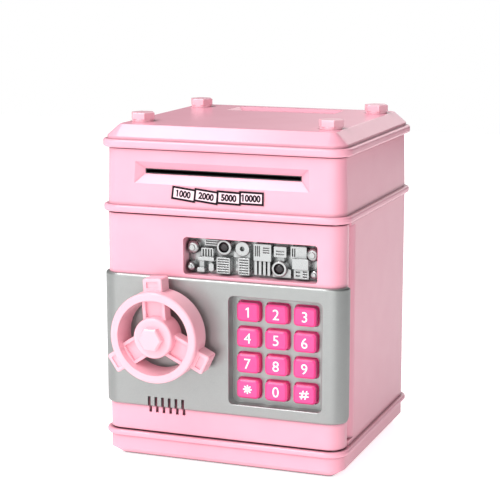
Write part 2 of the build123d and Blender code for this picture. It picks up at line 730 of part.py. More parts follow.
with BuildPart() as coin_chute:
    chute_w, chute_d, chute_wall = CHUTE
    with BuildSketch(level(MID_SEAM)):
        with Locations((0, COIN_Y - MID_Y)):
            Rectangle(chute_w, chute_d)
            Rectangle(chute_w - 2 * chute_wall, chute_d - 2 * chute_wall, mode=Mode.SUBTRACT)
    extrude(amount=CAP_TOP - WALL - 2.4 - MID_SEAM)
    # flange that sits on the casing's floor
    with BuildSketch(level(MID_SEAM + 2)):
        with Locations((0, COIN_Y - MID_Y)):
            Rectangle(chute_w + 8, chute_d + 6)
            Rectangle(chute_w - 2 * chute_wall, chute_d - 2 * chute_wall, mode=Mode.SUBTRACT)
    extrude(amount=1.2)
save(coin_chute, "coin_chute")

with BuildPart() as hinge_pins:
    with BuildSketch(Plane(origin=(HINGE_X, HINGE_Y, BASE_TOP + PIN_OUT))):
        Circle(PIN_R)
    extrude(amount=-(PIN_SUNK + PIN_OUT))
    with BuildSketch(Plane(origin=(HINGE_X, HINGE_Y, MID_SEAM - PIN_OUT))):
        Circle(PIN_R)
    extrude(amount=PIN_SUNK + PIN_OUT)
save(hinge_pins, "hinge_pins")

# ---------------------------------------------------------------- door
VENT_PITCH = 3.65
VENT_W = 1.5
VENTS = (WHEEL_X - 0.3, 25.0, 33.5)  # middle of the row, bottom, top
KEYPAD_CUT = (KEYPAD[0] - 1.4, KEYPAD[1] + 1.4, KEYPAD[2] - 1.4, KEYPAD[3] + 1.4)
BUSH_R = 4.2
DOOR_SCREWS = [(-55.0, 24.0), (-55.0, 117.0), (46.0, 20.5), (46.0, 120.4)]


def vents():
    """The row of speaker slots in the active front-facing sketch."""
    middle, low, high = VENTS
    with Locations((middle, (low + high) / 2)):
        with GridLocations(VENT_PITCH, 0, 6, 1):
            Rectangle(VENT_W, high - low)


with BuildPart() as door_shell:
    with BuildSketch(level(DOOR_LOW)):
        outline()
        keep_front(FLANGE)
    extrude(amount=DOOR_HIGH - DOOR_LOW)
    fillet(door_shell.edges().filter_by(Axis.Z).group_by(Axis.Y)[-1], 0.8)
    rims = door_shell.faces().filter_by(Axis.Z).edges()
    fillet([e for e in rims if (e @ 0.5).Y < DOOR_BACK - 0.5], 0.5)
    with BuildSketch(level(DOOR_LOW + DOOR_SKIN)):
        outline(WALL)
        keep_front(FLANGE + 1)
    extrude(amount=DOOR_HIGH - DOOR_LOW - 2 * DOOR_SKIN, mode=Mode.SUBTRACT)
    # well behind the window
    with BuildSketch(facing(FRONT + WALL)):
        span(WINDOW, grow=1.2, radius=2.8)
        span(WINDOW, radius=1.8, mode=Mode.SUBTRACT)
    extrude(amount=-(WINDOW_DEEP - WALL))
    # hinge bosses and their bores
    for boss_low in (DOOR_LOW, DOOR_HIGH - 6):
        with BuildSketch(Plane(origin=(HINGE_X, HINGE_Y, boss_low))):
            Circle(3.2)
        extrude(amount=6)
    with BuildSketch(Plane(origin=(HINGE_X, HINGE_Y, DOOR_LOW))):
        Circle(PIN_R + RUNNING)
    extrude(amount=5, mode=Mode.SUBTRACT)
    with BuildSketch(Plane(origin=(HINGE_X, HINGE_Y, DOOR_HIGH))):
        Circle(PIN_R + RUNNING)
    extrude(amount=-5, mode=Mode.SUBTRACT)
    # bosses for the back cover's screws
    with BuildSketch(facing(DOOR_BACK - BACK_COVER)):
        with Locations(*DOOR_SCREWS):
            Circle(3.0)
    extrude(amount=FLANGE - BACK_COVER - WALL)
    with BuildSketch(facing(DOOR_BACK - BACK_COVER)):
        with Locations(*DOOR_SCREWS):
            Circle(SCREW_R)
    extrude(amount=6, mode=Mode.SUBTRACT)
    # openings through the front
    with BuildSketch(facing(FRONT)):
        span(WINDOW, radius=1.8)
        span(KEYPAD_CUT, radius=2)
        with Locations((WHEEL_X, WHEEL_Z)):
            Circle(BUSH_R)
        vents()
    extrude(amount=-WALL, mode=Mode.SUBTRACT)
save(door_shell, "door_shell")


def panel_edge(edge):
    """True for the panel's outer edges, but not for the smooth seams of its rounded corners."""
    middle = edge @ 0.5
    upright = edge.bounding_box().size.Z > PANEL_HIGH - PANEL_LOW - 10
    return proud(middle) > PANEL_PROUD - 0.05 and not (upright and middle.Y < FRONT + PANEL_WRAP - 1)


KEY_COLUMNS = [(KEYPAD[0] + KEYPAD[1]) / 2 + step * KEY_PITCH_X for step in (-1, 0, 1)]
KEY_ROWS = [(KEYPAD[2] + KEYPAD[3]) / 2 + (1.5 - row) * KEY_PITCH_Z for row in range(4)]
KEY_NAMES = ["1", "2", "3", "4", "5", "6", "7", "8", "9", "star", "0", "hash"]
KEY_CENTRES = [(x, z) for z in KEY_ROWS for x in KEY_COLUMNS]

with BuildPart() as front_panel:
    with BuildSketch(level(PANEL_LOW)):
        outline(-PANEL_PROUD)
        outline(mode=Mode.SUBTRACT)
        keep_front(PANEL_WRAP, lead=PANEL_PROUD)
    extrude(amount=PANEL_HIGH - PANEL_LOW)
    # the ends on the door's sides have rounded corners
    with BuildSketch(Plane.YZ) as side_view:
        with Locations((FRONT, (PANEL_LOW + PANEL_HIGH) / 2)):
            Rectangle(2 * PANEL_WRAP, PANEL_HIGH - PANEL_LOW)
        fillet(side_view.vertices().group_by(Axis.X)[-1].sort_by(Axis.Y)[0], 4.0)
        fillet(side_view.vertices().group_by(Axis.X)[-1].sort_by(Axis.Y)[-1], 2.0)
    extrude(amount=WIDTH, both=True, mode=Mode.INTERSECT)
    fillet(front_panel.edges().filter_by(panel_edge), PANEL_ROUND)
    # keypad tray
    with BuildSketch(facing(FRONT)):
        span(KEYPAD, grow=1.2, radius=3)
    extrude(amount=-(KEYPAD_FLOOR + KEYPAD_SHEET - FRONT))
    with BuildSketch(facing(PANEL_FACE)):
        span(KEYPAD, radius=2.5)
    extrude(amount=-KEYPAD_DEEP, mode=Mode.SUBTRACT)
    face_edges = front_panel.edges().filter_by_position(Axis.Y, PANEL_FACE - 0.01, PANEL_FACE + 0.01)
    tray_rim = [e for e in face_edges if KEYPAD[0] - 0.1 < (e @ 0.5).X < KEYPAD[1] + 0.1]
    fillet([e for e in tray_rim if KEYPAD[2] - 0.1 < (e @ 0.5).Z < KEYPAD[3] + 0.1], 0.6)
    with BuildSketch(facing(PANEL_FACE)):
        with Locations(*KEY_CENTRES):
            RectangleRounded(KEY_W + 2 * KEY_GAP, KEY_H + 2 * KEY_GAP, KEY_ROUND)
    extrude(amount=-(KEYPAD_DEEP + KEYPAD_SHEET), mode=Mode.SUBTRACT)
    with BuildSketch(facing(PANEL_FACE)):
        with Locations((WHEEL_X, WHEEL_Z)):
            Circle(BUSH_R)
        vents()
    extrude(amount=-PANEL_PROUD, mode=Mode.SUBTRACT)
save(front_panel, "front_panel")

KEY_FRONT = PANEL_FACE + KEY_SET_BACK
FLANGE_FRONT = KEYPAD_FLOOR + KEYPAD_SHEET + 0.05

for name, (key_x, key_z) in zip(KEY_NAMES, KEY_CENTRES):
    with BuildPart() as key:
        with BuildSketch(facing(FLANGE_FRONT)):
            with Locations((key_x, key_z)):
                RectangleRounded(KEY_W, KEY_H, KEY_ROUND)
        extrude(amount=FLANGE_FRONT - KEY_FRONT)
        chamfer(key.faces().sort_by(Axis.Y)[0].edges(), KEY_BEVEL)
        # flange that keeps the key behind the tray
        with BuildSketch(facing(FLANGE_FRONT)):
            with Locations((key_x, key_z)):
                RectangleRounded(KEY_W + 1.6, KEY_H + 1.6, 1.2)
        extrude(amount=-KEY_FLANGE)
    save(key, f"key_{name}")

MEMBRANE_FRONT = FLANGE_FRONT + KEY_FLANGE + KEY_TRAVEL + 0.05
BOARD_FRONT = MEMBRANE_FRONT + 0.7
KEYPAD_MAT = (KEYPAD[0] - 0.8, KEYPAD[1] + 0.8, KEYPAD[2] - 0.8, KEYPAD[3] + 0.8)

with BuildPart() as keypad_membrane:
    with BuildSketch(facing(MEMBRANE_FRONT)):
        span(KEYPAD_MAT, radius=2)
    extrude(amount=-0.7)
save(keypad_membrane, "keypad_membrane")

with BuildPart() as circuit_board:
    with BuildSketch(facing(BOARD_FRONT)):
        span((KEYPAD_MAT[0] - 1, KEYPAD_MAT[1] + 1, KEYPAD_MAT[2] - 3, KEYPAD_MAT[3] + 3), radius=1)
    extrude(amount=-(DOOR_BACK - BACK_COVER - BOARD_FRONT))
save(circuit_board, "circuit_board")

SPEAKER_Z = 41.0
with BuildPart() as speaker:
    with BuildSketch(facing(FRONT + WALL + 0.4)):
        with Locations((WHEEL_X, SPEAKER_Z)):
            Circle(14)
    extrude(amount=-1.6)
    with BuildSketch(facing(FRONT + WALL + 0.4)):
        with Locations((WHEEL_X, SPEAKER_Z)):
            Circle(11.5)
    with BuildSketch(facing(FRONT + WALL + 1.4)):
        with Locations((WHEEL_X, SPEAKER_Z)):
            Circle(5)
    loft(mode=Mode.SUBTRACT)
    with BuildSketch(facing(FRONT + WALL + 2.0)):
        with Locations((WHEEL_X, SPEAKER_Z)):
            Circle(7)
    extrude(amount=-(DOOR_BACK - BACK_COVER - FRONT - WALL - 2.0))
save(speaker, "speaker")

# ---------------------------------------------------------------- mechanism behind the window
RELIEF_FLOOR = FRONT + WINDOW_DEEP
RELIEF_MARGIN = 0.8
LAMPS = [(1.0, 111.6), (29.6, 102.8)]
LAMP_R = 2.7
BEZEL_R = 3.9
BEZEL_FRONT = FRONT + 2.6


def boss(x, z, radius, y_front, round_off):
    """A round boss that rises from the relief's plate to y_front, with a rounded rim."""
    with BuildSketch(facing(RELIEF_FLOOR)) as disc:
        with Locations((x, z)):
            Circle(radius)
    extrude(disc.sketch, amount=RELIEF_FLOOR - y_front)
    rim = mechanism_relief.edges().filter_by_position(Axis.Y, y_front - 0.01, y_front + 0.01)
    fillet([e for e in rim if hypot((e @ 0).X - x, (e @ 0).Z - z) < radius + 0.01], round_off)


def block(box, y_front, radius=0.4):
    """A block that rises from the relief's plate to y_front."""
    with BuildSketch(facing(RELIEF_FLOOR)) as footprint:
        span(box, radius=radius)
    extrude(footprint.sketch, amount=RELIEF_FLOOR - y_front)


def grooves(box, y_front, count, deep=0.8, upright=False):
    """Cuts evenly spaced grooves into a block's face."""
    left, right, low, high = box
    length = (right - left if upright else high - low) / (2 * count + 1)
    centre = ((left + right) / 2, (low + high) / 2)
    with BuildSketch(facing(y_front)) as cuts:
        with Locations(centre):
            if upright:
                with GridLocations(2 * length, 0, count, 1):
                    Rectangle(length, high - low - 1.2)
            else:
                with GridLocations(0, 2 * length, 1, count):
                    Rectangle(right - left - 1.2, length)
    extrude(cuts.sketch, amount=-deep, mode=Mode.SUBTRACT)


with BuildPart() as mechanism_relief:
    with BuildSketch(facing(RELIEF_FLOOR)):
        span(WINDOW, grow=RELIEF_MARGIN, radius=1)
    extrude(amount=-RELIEF_PLATE)
    # pairs of domed rivet heads at the two ends
    for x, z, radius in ((-15.9, 110.4, 3.4), (-16.9, 100.8, 2.3), (46.3, 110.6, 3.4), (47.4, 101.0, 2.2)):
        boss(x, z, radius, FRONT + 3.0, 0.6 * radius)
        boss(x, z, 0.45 * radius, FRONT + 2.5, 0.3)
    # arch on two legs at the left
    block((-13.0, -4.6, 104.2, 106.0), FRONT + 3.6)
    block((-11.6, -5.2, 106.0, 110.4), FRONT + 4.4)
    grooves((-11.6, -5.2, 105.6, 110.4), FRONT + 4.4, 4, upright=True)
    block((-12.6, -10.2, 98.2, 104.4), FRONT + 4.6)
    block((-13.4, -9.6, 98.4, 100.6), FRONT + 3.4)
    block((-7.6, -5.0, 98.8, 103.0), FRONT + 4.2, radius=1.2)
    block((-10.0, 0.0, 111.6, 114.6), FRONT + 5.2)
    grooves((-10.0, 0.0, 111.6, 114.6), FRONT + 5.2, 2)
    # ribbed coolers
    for box in ((-3.0, 4.0, 98.4, 106.4), (8.4, 14.2, 98.4, 106.8)):
        block(box, FRONT + 3.0)
        grooves(box, FRONT + 3.0, 6)
    block((6.9, 8.6, 100.0, 101.6), FRONT + 4.0)
    block((6.9, 8.6, 103.4, 105.0), FRONT + 4.0)
    # disc with a hole on a sloping foot
    block((5.6, 14.0, 106.8, 109.6), FRONT + 4.4)
    boss(10.3, 111.3, 3.7, FRONT + 3.4, 0.4)
    with BuildSketch(facing(FRONT + 3.4)):
        with Locations((10.3, 111.3)):
            Circle(1.2)
    extrude(amount=-1.6, mode=Mode.SUBTRACT)
    # plate on four pillars
    block((16.3, 25.4, 106.0, 114.4), FRONT + 3.2)
    grooves((16.5, 20.0, 107.6, 114.0), FRONT + 3.2, 3, deep=0.7, upright=True)
    grooves((20.6, 25.0, 109.4, 113.4), FRONT + 3.2, 3, deep=0.7)
    for step in range(4):
        block((16.5 + 2.25 * step, 17.9 + 2.25 * step, 98.8, 106.2), FRONT + 3.8)
    # hopper over the second lamp
    block((26.9, 33.3, 108.6, 113.8), FRONT + 2.8)
    grooves((27.4, 32.8, 109.0, 112.6), FRONT + 2.8, 2, deep=0.6)
    block((28.4, 31.8, 106.4, 108.8), FRONT + 4.0)
    block((25.8, 35.2, 98.4, 102.6), FRONT + 4.2)
    # stepped gearbox at the right
    block((35.0, 43.2, 108.0, 114.2), FRONT + 4.0)
    grooves((35.2, 38.0, 108.6, 113.8), FRONT + 4.0, 2, upright=True)
    block((36.2, 44.4, 103.2, 108.4), FRONT + 3.0)
    block((36.8, 44.4, 98.4, 103.2), FRONT + 3.8)
    grooves((37.2, 40.6, 98.6, 103.0), FRONT + 3.8, 2)
    grooves((40.8, 44.2, 98.6, 103.0), FRONT + 3.8, 3)
    # lamp bezels with sockets
    for x, z in LAMPS:
        boss(x, z, BEZEL_R, BEZEL_FRONT, 0.6)
    with BuildSketch(facing(BEZEL_FRONT)):
        with Locations(*LAMPS):
            Circle(LAMP_R)
    extrude(amount=-3.4, mode=Mode.SUBTRACT)
save(mechanism_relief, "mechanism_relief")

with BuildPart() as indicator_lamps:
    with BuildSketch(facing(BEZEL_FRONT + 3.4)):
        with Locations(*LAMPS):
            Circle(LAMP_R)
    extrude(amount=3.6)
    fillet(indicator_lamps.faces().filter_by(Axis.Y).group_by(Axis.Y)[0].edges(), 2.2)
save(indicator_lamps, "indicator_lamps")

# ---------------------------------------------------------------- back of the door
COVER_X = WIDTH / 2 - WALL - 0.2
COVER_BOX = (-COVER_X, COVER_X, DOOR_LOW + DOOR_SKIN + 0.2, DOOR_HIGH - DOOR_SKIN - 0.2)

with BuildPart() as door_back_cover:
    with BuildSketch(facing(DOOR_BACK - BACK_COVER)):
        span(COVER_BOX)
    extrude(amount=-BACK_COVER)
    with BuildSketch(facing(DOOR_BACK - BACK_COVER)):
        with Locations((WHEEL_X, WHEEL_Z)):
            Circle(BUSH_R)
        with Locations(*DOOR_SCREWS):
            Circle(SCREW_R)
    extrude(amount=-BACK_COVER, mode=Mode.SUBTRACT)
    with BuildSketch(facing(DOOR_BACK)):
        with Locations(*DOOR_SCREWS):
            Circle(2.3 * SCREW_R)
    extrude(amount=1.4, mode=Mode.SUBTRACT)
save(door_back_cover, "door_back_cover")

cover_planes = [Plane(origin=(x, DOOR_BACK, z), x_dir=(1, 0, 0), z_dir=(0, 1, 0)) for x, z in DOOR_SCREWS]
with BuildPart() as door_screws:
    with BuildSketch(*cover_planes):
        Circle(2.1 * SCREW_R)
    extrude(amount=-1.4)
    with BuildSketch(*cover_planes):
        Circle(SCREW_R)
    extrude(amount=-7)
    with BuildSketch(*cover_planes):
        Rectangle(2.6 * SCREW_R, 0.5 * SCREW_R)
        Rectangle(0.5 * SCREW_R, 2.6 * SCREW_R)
    extrude(amount=-0.8, mode=Mode.SUBTRACT)
save(door_screws, "door_screws")

with BuildPart() as knob_bushing:
    with BuildSketch(facing(DOOR_BACK)):
        with Locations((WHEEL_X, WHEEL_Z)):
            Circle(BUSH_R)
    extrude(amount=DOOR_BACK - PANEL_FACE)
    with BuildSketch(facing(PANEL_FACE)):
        with Locations((WHEEL_X, WHEEL_Z)):
            Circle(7)
    extrude(amount=1)
    with BuildSketch(facing(DOOR_BACK)):
        with Locations((WHEEL_X, WHEEL_Z)):
            Circle(SPINDLE_R + RUNNING)
    extrude(amount=FLANGE + PANEL_PROUD + 1, mode=Mode.SUBTRACT)
save(knob_bushing, "knob_bushing")

# ---------------------------------------------------------------- latch
RACK_PITCH_Z = WHEEL_Z - PINION_PITCH_R
RACK_ROOT = RACK_PITCH_Z - 1.15 * PINION_MODULE
RACK_TIP = RACK_PITCH_Z + 0.8 * PINION_MODULE
RACK_STEP = pi * PINION_MODULE
RACK_TEETH = 7
PLAY = 0.35
NOTCH_W = 2 * PLUNGER_R + 0.7
NOTCH_DEEP = 3.0
POCKET = (GUIDE[0] + 3, GUIDE[1] - 3, LATCH_LOW - PLAY, GUIDE[3] - 3)

with BuildPart() as latch_bolt:
    with BuildSketch(facing(LATCH_Y)):
        span((LATCH_TIP, LATCH_TAIL, LATCH_LOW, RACK_ROOT))
        with BuildLine():
            # rack: a space stands over the pinion's lowest tooth at rest
            points = [(WHEEL_X - RACK_TEETH / 2 * RACK_STEP, RACK_ROOT - 1)]
            for tooth in range(RACK_TEETH):
                middle = WHEEL_X + (tooth - RACK_TEETH / 2 + 0.5) * RACK_STEP + RACK_STEP / 2
                half_root, half_tip = 0.29 * RACK_STEP, 0.10 * RACK_STEP
                points += [(middle - half_root, RACK_ROOT), (middle - half_tip, RACK_TIP)]
                points += [(middle + half_tip, RACK_TIP), (middle + half_root, RACK_ROOT)]
            points.append((WHEEL_X + (RACK_TEETH / 2 + 1) * RACK_STEP, RACK_ROOT - 1))
            Polyline(*points, close=True)
        make_face()
        # notches for the locking plunger, one for each end of the throw
        for place in (PLUNGER_X, PLUNGER_X + LATCH_THROW):
            with Locations((place, LATCH_LOW)):
                Rectangle(NOTCH_W, 2 * NOTCH_DEEP, mode=Mode.SUBTRACT)
    extrude(amount=-LATCH_THICK)
    # the tip is bevelled towards the door, so that it clears the shell's lip
    chamfer(latch_bolt.edges().filter_by(Axis.Z).group_by(Axis.X)[0].sort_by(Axis.Y)[0], 2.6)
save(latch_bolt, "latch_bolt")

with BuildPart() as latch_guide:
    with BuildSketch(facing(DOOR_BACK)):
        span(GUIDE, radius=2)
    extrude(amount=-(GUIDE_BACK - DOOR_BACK))
    with BuildSketch(facing(LATCH_Y - PLAY)):
        span(POCKET)
    extrude(amount=-(GUIDE_BACK - LATCH_Y + PLAY), mode=Mode.SUBTRACT)
    # way out for the bolt, hole for the spindle and hole for the locking plunger
    with BuildSketch(facing(LATCH_Y - PLAY)):
        span((GUIDE[0] - 1, POCKET[0] + 1, LATCH_LOW - PLAY, RACK_TIP + PLAY))
    extrude(amount=-(LATCH_THICK + 2 * PLAY), mode=Mode.SUBTRACT)
    with BuildSketch(facing(DOOR_BACK)):
        with Locations((WHEEL_X, WHEEL_Z)):
            Circle(SPINDLE_R + 0.8)
    extrude(amount=-(LATCH_Y - DOOR_BACK), mode=Mode.SUBTRACT)
    with BuildSketch(Plane(origin=(PLUNGER_X, LATCH_Y + LATCH_THICK / 2, GUIDE[2]))):
        Circle(PLUNGER_R + RUNNING)
    extrude(amount=LATCH_LOW - GUIDE[2], mode=Mode.SUBTRACT)
save(latch_guide, "latch_guide")

with BuildPart() as latch_cover:
    with BuildSketch(facing(GUIDE_BACK)):
        span(GUIDE, radius=2)
        with Locations((GUIDE[0] + 5, GUIDE[3] - 1.5), (GUIDE[1] - 5, GUIDE[3] - 1.5)):
            Circle(0.6, mode=Mode.SUBTRACT)
    extrude(amount=-1.4)
save(latch_cover, "latch_cover")

PLUNGER_REST = LATCH_LOW - 0.7
SOLENOID = (PLUNGER_X - 8.0, PLUNGER_X + 8.0, 27.0, GUIDE[2])
SOLENOID_BACK = LATCH_Y + LATCH_THICK / 2 + 6.0
PLUNGER_Y = LATCH_Y + LATCH_THICK / 2

with BuildPart() as lock_solenoid:
    with BuildSketch(facing(DOOR_BACK)):
        span(SOLENOID)
    extrude(amount=-(SOLENOID_BACK - DOOR_BACK))
    # the frame is open in front of and behind the coil
    with BuildSketch(facing(DOOR_BACK)):
        span((SOLENOID[0] + 1.5, SOLENOID[1] - 1.5, SOLENOID[2] + 1.5, SOLENOID[3] - 1.5))
    extrude(amount=-(SOLENOID_BACK - DOOR_BACK), mode=Mode.SUBTRACT)
    with BuildSketch(Plane(origin=(PLUNGER_X, PLUNGER_Y - 0.4, SOLENOID[2] + 1.5))):
        Circle(5.2)
    extrude(amount=SOLENOID[3] - SOLENOID[2] - 3.0)
    with BuildSketch(Plane(origin=(PLUNGER_X, PLUNGER_Y, SOLENOID[2] + 5))):
        Circle(PLUNGER_R + RUNNING)
    extrude(amount=SOLENOID[3] - SOLENOID[2] - 5, mode=Mode.SUBTRACT)
save(lock_solenoid, "lock_solenoid")

with BuildPart() as lock_plunger:
    with BuildSketch(Plane(origin=(PLUNGER_X, PLUNGER_Y, SOLENOID[2] + 6))):
        Circle(PLUNGER_R)
    extrude(amount=PLUNGER_REST - SOLENOID[2] - 6)
    chamfer(lock_plunger.faces().sort_by(Axis.Z)[-1].edges(), 0.4)
save(lock_plunger, "lock_plunger")

# ---------------------------------------------------------------- handwheel
wheel_plane = Plane(origin=(WHEEL_X, FRONT, WHEEL_Z), x_dir=(1, 0, 0), z_dir=(0, -1, 0))
SPOKE_W = 12.0
SPOKE_RIB = 1.7
SPOKE_FRONT = 14.0
SPOKE_BACK = 7.5
SPOKE_ANGLE = 90 + WHEEL_TURN
LUG_FACE = FRONT - LUG_FRONT
HUB_FACE = FRONT - HUB_FRONT
HUB_BACK = 3.2
SOCKET_DEEP = 10.0
SPINDLE_FRONT = HUB_FRONT - 4.0


def beyond_rim(edge):
    """True for the edges of the lugs that stand clear of the rim."""
    middle = edge @ 0.5
    return hypot(middle.X - WHEEL_X, middle.Z - WHEEL_Z) > RIM_OUTER + 1


with BuildPart() as handwheel:
    # rim with rounded edges, wider inside at the front, and three lugs that stand back from its face
    with BuildSketch(wheel_plane.offset(RIM_BACK)):
        Circle(RIM_OUTER)
    extrude(amount=RIM_FRONT - RIM_BACK)
    fillet(handwheel.faces().sort_by(Axis.Y)[0].edges(), 1.2)
    with BuildSketch(wheel_plane.offset(RIM_BACK)):
        with PolarLocations((RIM_INNER + LUG_REACH) / 2, 3, start_angle=SPOKE_ANGLE):
            Rectangle(LUG_REACH - RIM_INNER, LUG_W)
    extrude(amount=LUG_FRONT - RIM_BACK)
    lug_edges = handwheel.edges().filter_by(beyond_rim)
    fillet(lug_edges.filter_by(Axis.Y), 1.2)
    lug_edges = handwheel.edges().filter_by(beyond_rim)
    fillet(lug_edges.filter_by_position(Axis.Y, LUG_FACE - 0.01, LUG_FACE + 0.01), 0.8)
    with BuildSketch(wheel_plane.offset(RIM_BACK)):
        Circle(RIM_INNER - 1.4)
    with BuildSketch(wheel_plane.offset(RIM_FRONT)):
        Circle(RIM_INNER)
    loft(mode=Mode.SUBTRACT)
    # a shallow panel is sunk into each lug's face
    with BuildSketch(wheel_plane.offset(LUG_FRONT)):
        with PolarLocations((RIM_OUTER + LUG_REACH) / 2 - 0.2, 3, start_angle=SPOKE_ANGLE):
            RectangleRounded(3.0, LUG_W - 4.0, 0.5)
    extrude(amount=-0.8, mode=Mode.SUBTRACT)
    # spokes with raised edges
    with BuildSketch(wheel_plane.offset(SPOKE_BACK)):
        with PolarLocations(RIM_INNER / 2, 3, start_angle=SPOKE_ANGLE):
            Rectangle(RIM_INNER, SPOKE_W)
    extrude(amount=SPOKE_FRONT - SPOKE_BACK)
    with BuildSketch(wheel_plane.offset(SPOKE_FRONT)):
        with PolarLocations((RIM_INNER + HUB_R) / 2 - 1.0, 3, start_angle=SPOKE_ANGLE):
            Rectangle(RIM_INNER - HUB_R - 1.0, SPOKE_W - 2 * SPOKE_RIB)
    extrude(amount=-1.8, mode=Mode.SUBTRACT)
    # hub, with a narrower boss behind it
    with BuildSketch(wheel_plane.offset(SPOKE_BACK - 2)):
        Circle(HUB_R)
    extrude(amount=HUB_FRONT - SPOKE_BACK + 2)
    hub_rim = handwheel.edges().filter_by_position(Axis.Y, HUB_FACE - 0.01, HUB_FACE + 0.01)
    fillet(hub_rim, 1.2)
    with BuildSketch(wheel_plane.offset(HUB_BACK)):
        Circle(7)
    extrude(amount=SPOKE_BACK - HUB_BACK)
    # socket for the spindle, and the narrower hole for the hub bolt
    with BuildSketch(wheel_plane.offset(HUB_BACK)):
        Circle(SPINDLE_R)
    extrude(amount=SPINDLE_FRONT - HUB_BACK, mode=Mode.SUBTRACT)
    with BuildSketch(wheel_plane.offset(HUB_FRONT)):
        Circle(1.5)
    extrude(amount=-(HUB_FRONT - SPINDLE_FRONT), mode=Mode.SUBTRACT)
save(handwheel, "handwheel")

with BuildPart() as hub_bolt:
    with BuildSketch(wheel_plane.offset(HUB_FRONT)):
        RegularPolygon(6.3, 6)
    extrude(amount=WHEEL_REACH - HUB_FRONT)
    chamfer(hub_bolt.faces().sort_by(Axis.Y)[0].edges(), 0.7)
    with BuildSketch(wheel_plane.offset(HUB_FRONT)):
        Circle(1.5)
    extrude(amount=-SOCKET_DEEP)
save(hub_bolt, "hub_bolt")

SPINDLE_TAIL = FRONT + 21.2
PINION_FRONT = LATCH_Y + 0.2
PINION_THICK = LATCH_THICK - 0.4
CLIP_Y = PINION_FRONT + PINION_THICK + 0.1

with BuildPart() as knob_spindle:
    with BuildSketch(wheel_plane.offset(SPINDLE_FRONT)):
        Circle(SPINDLE_R)
    extrude(amount=-(SPINDLE_FRONT + SPINDLE_TAIL - FRONT))
    with BuildSketch(wheel_plane.offset(SPINDLE_FRONT)):
        Circle(1.5)
    extrude(amount=-(SOCKET_DEEP - HUB_FRONT + SPINDLE_FRONT), mode=Mode.SUBTRACT)
    # groove for the retaining clip
    with BuildSketch(facing(CLIP_Y)):
        with Locations((WHEEL_X, WHEEL_Z)):
            Circle(SPINDLE_R)
            Circle(SPINDLE_R - 0.6, mode=Mode.SUBTRACT)
    extrude(amount=-0.7, mode=Mode.SUBTRACT)
save(knob_spindle, "knob_spindle")

with BuildPart() as spindle_clip:
    with BuildSketch(facing(CLIP_Y)):
        with Locations((WHEEL_X, WHEEL_Z)):
            Circle(4.4)
            Circle(SPINDLE_R - 0.6, mode=Mode.SUBTRACT)
        with Locations((WHEEL_X, WHEEL_Z + 3)):
            Rectangle(2.4, 6, mode=Mode.SUBTRACT)
    extrude(amount=-0.6)
save(spindle_clip, "spindle_clip")

with BuildPart() as latch_pinion:
    with BuildSketch(wheel_plane.offset(FRONT - PINION_FRONT)):
        gear_outline(PINION_TEETH, PINION_MODULE)
        Circle(SPINDLE_R, mode=Mode.SUBTRACT)
    extrude(amount=-PINION_THICK)
save(latch_pinion, "latch_pinion")

# ---------------------------------------------------------------- axes of what turns and slides
print("door hinge", HINGE_X, round(HINGE_Y, 3))
print("handwheel", WHEEL_X, WHEEL_Z, "latch throw", round(LATCH_THROW, 3))
print("feed shaft", round(FEED_Y, 3), round(FEED_Z, 3), "pinch shaft height", round(PINCH_Z, 3))
print("transfer gear", round(TRANSFER_Y, 3), "motor", round(MOTOR_Y, 3))
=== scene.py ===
import json
import math

import bmesh
import bpy
from mathutils import Euler, Matrix, Vector


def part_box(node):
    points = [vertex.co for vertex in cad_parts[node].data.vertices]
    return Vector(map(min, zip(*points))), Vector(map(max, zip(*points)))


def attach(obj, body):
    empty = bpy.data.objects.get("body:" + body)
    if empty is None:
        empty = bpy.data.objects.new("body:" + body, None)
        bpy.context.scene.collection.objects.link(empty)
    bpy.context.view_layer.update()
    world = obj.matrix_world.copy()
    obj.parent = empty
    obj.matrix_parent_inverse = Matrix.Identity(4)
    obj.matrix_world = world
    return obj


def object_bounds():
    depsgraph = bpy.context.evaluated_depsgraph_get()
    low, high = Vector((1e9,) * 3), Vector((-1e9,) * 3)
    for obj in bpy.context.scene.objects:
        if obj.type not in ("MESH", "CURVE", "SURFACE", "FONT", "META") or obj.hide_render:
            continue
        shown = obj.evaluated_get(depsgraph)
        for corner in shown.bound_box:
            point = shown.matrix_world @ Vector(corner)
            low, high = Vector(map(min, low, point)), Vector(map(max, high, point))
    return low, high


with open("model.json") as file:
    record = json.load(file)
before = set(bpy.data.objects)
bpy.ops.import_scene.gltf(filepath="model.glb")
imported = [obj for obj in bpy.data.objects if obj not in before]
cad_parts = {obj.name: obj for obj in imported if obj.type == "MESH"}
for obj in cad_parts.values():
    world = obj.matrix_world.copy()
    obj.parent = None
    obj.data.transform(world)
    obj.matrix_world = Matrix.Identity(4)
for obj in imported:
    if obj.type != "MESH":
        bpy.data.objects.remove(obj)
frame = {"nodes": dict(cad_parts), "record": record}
nodes = frame["nodes"]
cad_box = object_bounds()
MM = 0.001

# ---------------------------------------------------------------- view
CAMERA_YAW = math.radians(20.51)
CAMERA_PITCH = math.radians(10.82)
CAMERA_DISTANCE = 0.8277
CAMERA_LENS = 114.95
AIM_OFFSET = Vector((-0.0034, 0.0016, 0.0142))  # from the middle of the object's box

